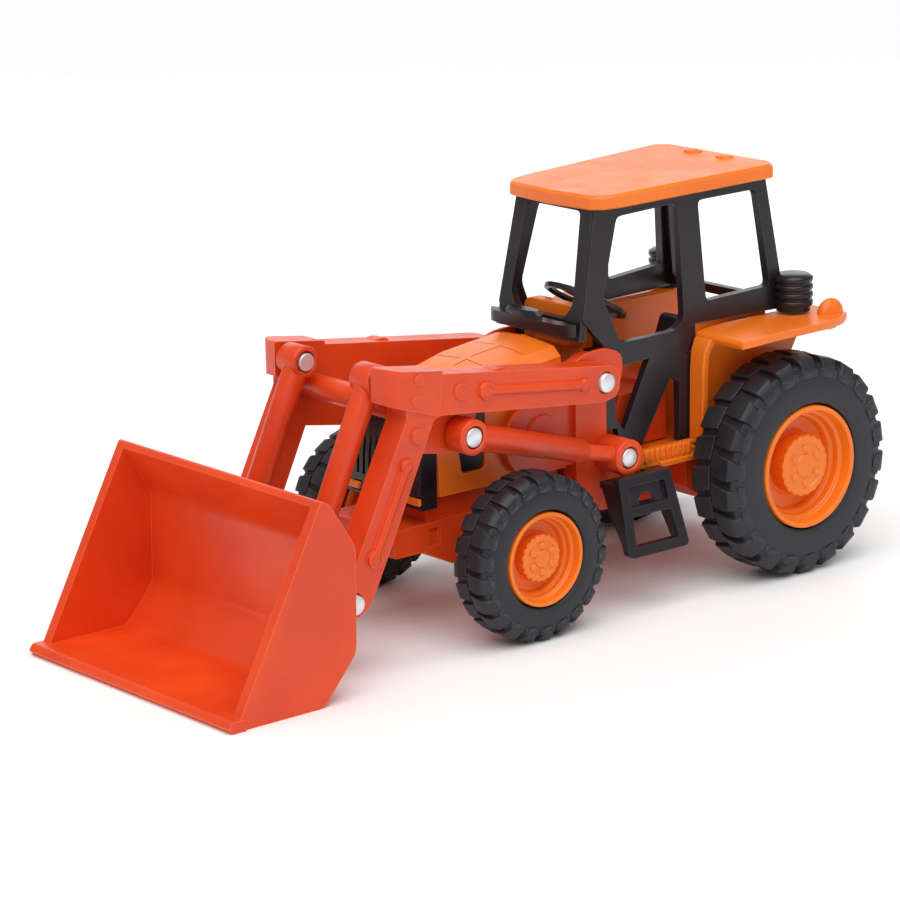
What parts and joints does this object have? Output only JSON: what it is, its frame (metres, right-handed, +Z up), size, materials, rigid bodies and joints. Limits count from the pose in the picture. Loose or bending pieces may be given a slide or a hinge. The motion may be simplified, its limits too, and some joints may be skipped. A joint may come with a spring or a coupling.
{
  "type": "toy front loader",
  "caption": "Toy farm tractor with an open cab, rolling wheels and a front loader whose boom lifts and bucket tips on paired telescoping cylinders.",
  "frame": {"origin": "on the ground, under the middle of the bounding box", "axes": "+X to the tractor's left, -Y forwards to the bucket, +Z up"},
  "size_m": [0.0574, 0.1494, 0.0733],
  "materials": {
    "body_orange": "satin moulded plastic",
    "loader_red": "satin moulded plastic",
    "trim_black": "satin moulded plastic",
    "tyre_rubber": "matt",
    "pin_metal": "bright",
    "axle_steel": "brushed"
  },
  "bodies": {
    "tractor": {"chassis": "loader_red", "chassis_screw_1": "axle_steel", "chassis_screw_2": "axle_steel", "hood": "body_orange", "engine_insert": "trim_black", "grille": "trim_black", "turn_lamp_left": "body_orange", "turn_lamp_right": "body_orange", "rear_body": "body_orange", "fender_left": "body_orange", "fender_right": "body_orange", "cab_tub": "loader_red", "dashboard": "body_orange", "seat": "trim_black", "steering_column": "trim_black", "steering_wheel": "trim_black", "cab_frame": "trim_black", "dash_cowl": "trim_black", "roof": "body_orange", "lamp_stack_left": "trim_black", "lamp_stack_right": "trim_black", "step_left": "trim_black", "step_right": "trim_black", "mast_left": "loader_red", "mast_right": "loader_red", "boom_pivot_pin_left": "pin_metal", "boom_pivot_pin_right": "pin_metal", "lift_rear_pin_left": "pin_metal", "lift_rear_pin_right": "pin_metal"},
    "front_wheels": {"front_axle": "axle_steel", "front_rim_left": "body_orange", "front_rim_right": "body_orange", "front_tyre_left": "tyre_rubber", "front_tyre_right": "tyre_rubber"},
    "rear_wheels": {"rear_axle": "axle_steel", "rear_rim_left": "body_orange", "rear_rim_right": "body_orange", "rear_tyre_left": "tyre_rubber", "rear_tyre_right": "tyre_rubber"},
    "boom": {"boom_left": "loader_red", "boom_right": "loader_red", "boom_cross_tube": "loader_red", "lift_front_pin_left": "pin_metal", "lift_front_pin_right": "pin_metal", "tilt_top_pin_left": "pin_metal", "tilt_top_pin_right": "pin_metal"},
    "bucket": {"bucket": "loader_red", "bucket_pin_left": "pin_metal", "bucket_pin_right": "pin_metal", "tilt_bottom_pin_left": "pin_metal", "tilt_bottom_pin_right": "pin_metal"},
    "lift_barrels": {"lift_barrel_left": "loader_red", "lift_barrel_right": "loader_red"},
    "lift_rods": {"lift_rod_left": "loader_red", "lift_rod_right": "loader_red"},
    "tilt_barrels": {"tilt_barrel_left": "loader_red", "tilt_barrel_right": "loader_red"},
    "tilt_rods": {"tilt_rod_left": "loader_red", "tilt_rod_right": "loader_red"}
  },
  "joints": [
    {"name": "front_axle_spin", "type": "hinge", "parent": "tractor", "child": "front_wheels", "pos_m": [0, -0.00606, 0.0146], "axis": [1, 0, 0], "continuous": true},
    {"name": "rear_axle_spin", "type": "hinge", "parent": "tractor", "child": "rear_wheels", "pos_m": [0, 0.05475, 0.02], "axis": [1, 0, 0], "continuous": true},
    {"name": "boom_lift", "type": "hinge", "parent": "tractor", "child": "boom", "pos_m": [0, 0.0152, 0.0404], "axis": [-1, 0, 0], "range_deg": [0, 45]},
    {"name": "bucket_tilt", "type": "hinge", "parent": "boom", "child": "bucket", "pos_m": [0, -0.0409, 0.0122], "axis": [1, 0, 0], "range_deg": [-8, 40]},
    {"name": "lift_rod_turn", "type": "hinge", "parent": "tractor", "child": "lift_rods", "pos_m": [0, 0.0201, 0.02615], "axis": [-1, 0, 0], "range_deg": [-1, 33.5]},
    {"name": "lift_barrel_turn", "type": "hinge", "parent": "boom", "child": "lift_barrels", "pos_m": [0, -0.015, 0.0361], "axis": [-1, 0, 0], "range_deg": [-13.5, 1]},
    {"name": "tilt_barrel_turn", "type": "hinge", "parent": "boom", "child": "tilt_barrels", "pos_m": [0, -0.0299, 0.0472], "axis": [1, 0, 0], "range_deg": [-8.5, 2.5]},
    {"name": "tilt_rod_turn", "type": "hinge", "parent": "bucket", "child": "tilt_rods", "pos_m": [0, -0.042, 0.0215], "axis": [1, 0, 0], "range_deg": [-48.5, 10.5]}
  ],
  "couplings": [
    {"joint": "lift_rod_turn", "follows": "boom_lift", "ratio": 0.722},
    {"joint": "lift_barrel_turn", "follows": "boom_lift", "ratio": -0.278},
    {"joint": "tilt_barrel_turn", "follows": "bucket_tilt", "ratio": -0.1865},
    {"joint": "tilt_rod_turn", "follows": "bucket_tilt", "ratio": -1.1865}
  ]
}
